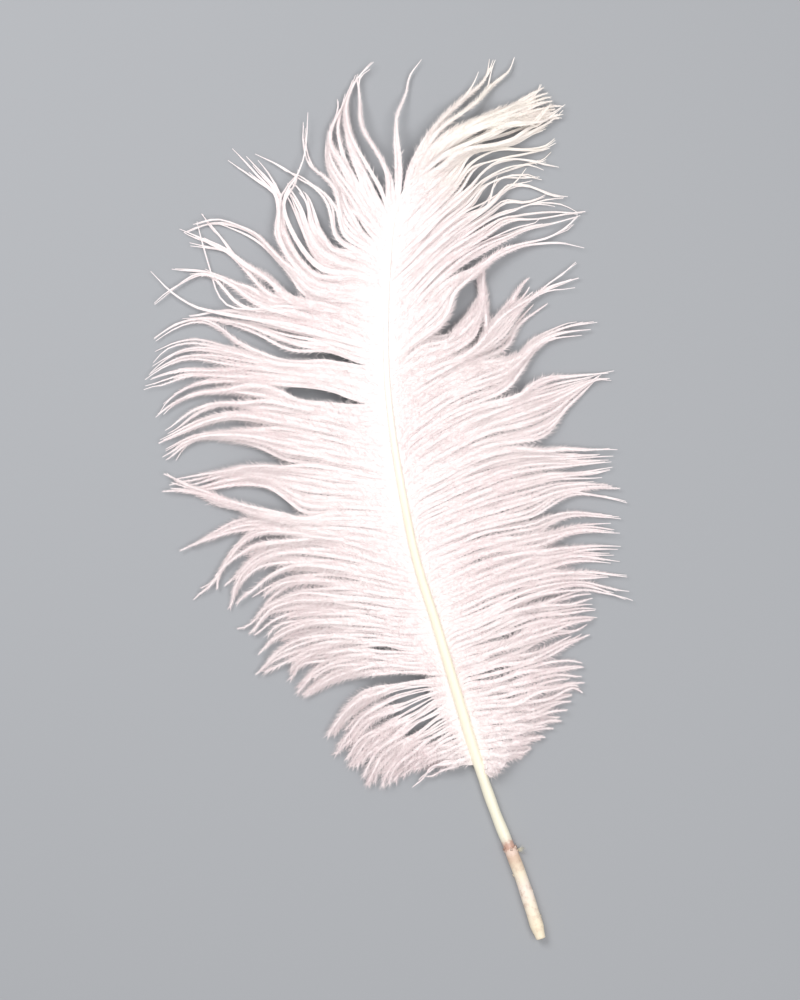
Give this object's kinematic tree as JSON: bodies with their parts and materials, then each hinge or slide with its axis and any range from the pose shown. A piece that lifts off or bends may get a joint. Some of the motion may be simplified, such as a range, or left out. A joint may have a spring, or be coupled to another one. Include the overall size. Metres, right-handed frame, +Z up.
{
  "type": "ostrich feather",
  "caption": "White ostrich plume lying flat: a bare quill, a slim shaft that bends over at its tip, and loose vanes of long soft barbs gathered into tapering locks.",
  "frame": {"origin": "on the surface that the feather lies on, under the middle of its box", "axes": "+Y along the feather from the quill towards the tip, +Z up from the surface, +X to the right seen from above"},
  "size_m": [0.1563, 0.2824, 0.0093],
  "materials": {
    "keratin": "soft matte white"
  },
  "bodies": {
    "root": {"feather": "keratin"}
  },
  "joints": []
}
